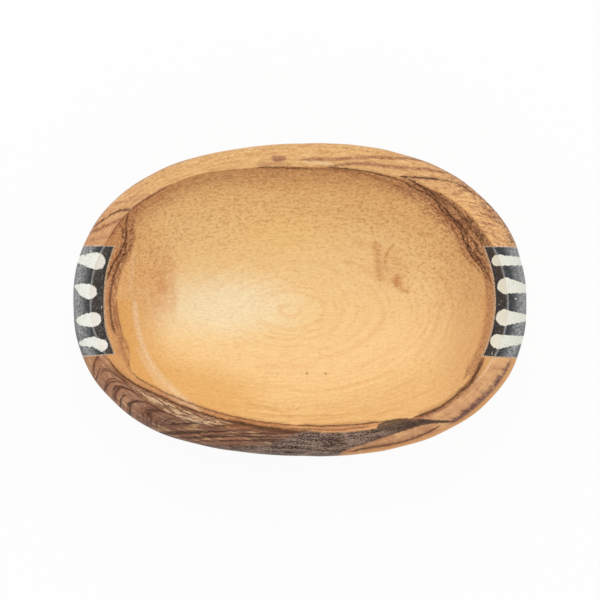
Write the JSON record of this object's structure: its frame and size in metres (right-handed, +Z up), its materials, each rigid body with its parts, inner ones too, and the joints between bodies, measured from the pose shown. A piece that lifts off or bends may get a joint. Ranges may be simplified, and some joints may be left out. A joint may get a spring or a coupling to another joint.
{
  "type": "oval wooden dish",
  "caption": "Shallow oval dish carved from olive wood, with a flat base, a broad rounded rim and a dyed bone inlay let into the rim at each end, for serving olives and nibbles.",
  "frame": {"origin": "middle of the flat base, on the table", "axes": "+X along the dish towards its right end in the picture, +Y across the dish towards the top of the picture, +Z up out of the hollow"},
  "size_m": [0.152, 0.1048, 0.038],
  "materials": {
    "olive_wood": "olive wood, sanded and oiled to a low sheen, pale floor with dark heartwood streaks in the rim",
    "dyed_bone": "black-dyed bone with cream drops left undyed, polished flush with the rim",
    "hard_glue": "hard translucent glue mixed with wood dust"
  },
  "bodies": {
    "root": {"dish_body": "olive_wood", "left_bone_inlay": "dyed_bone", "right_bone_inlay": "dyed_bone", "left_glue_bed": "hard_glue", "right_glue_bed": "hard_glue"}
  },
  "joints": []
}
